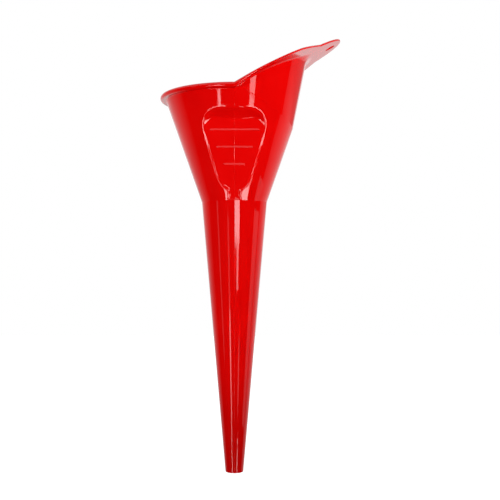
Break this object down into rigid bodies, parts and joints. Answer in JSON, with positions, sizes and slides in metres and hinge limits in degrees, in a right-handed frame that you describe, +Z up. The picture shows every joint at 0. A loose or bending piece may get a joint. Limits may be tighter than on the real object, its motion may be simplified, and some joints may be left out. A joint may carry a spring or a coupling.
{
  "type": "funnel",
  "caption": "Long-neck funnel with a wide conical bowl, a raised splash guard with a hang tab, and ribbed grip panels on both sides.",
  "frame": {"origin": "centre of the spout's open end, where the funnel stands in the neck it fills", "axes": "+Z up the spout's axis towards the bowl, +X from that axis towards the hang tab, +Y across the grip panels"},
  "size_m": [0.19, 0.1602, 0.4549],
  "materials": {
    "red_plastic": "glossy moulded polypropylene, bright red"
  },
  "bodies": {
    "root": {"spout_tip": "red_plastic", "spout_tube": "red_plastic", "bowl_cone_left": "red_plastic", "bowl_cone_right": "red_plastic", "splash_guard": "red_plastic", "rim_lip": "red_plastic", "guard_lip": "red_plastic", "hang_tab": "red_plastic", "grip_panel_front": "red_plastic", "grip_panel_back": "red_plastic", "grip_rib_front_upper": "red_plastic", "grip_rib_front_middle": "red_plastic", "grip_rib_front_lower": "red_plastic", "grip_rib_back_upper": "red_plastic", "grip_rib_back_middle": "red_plastic", "grip_rib_back_lower": "red_plastic"}
  },
  "joints": []
}
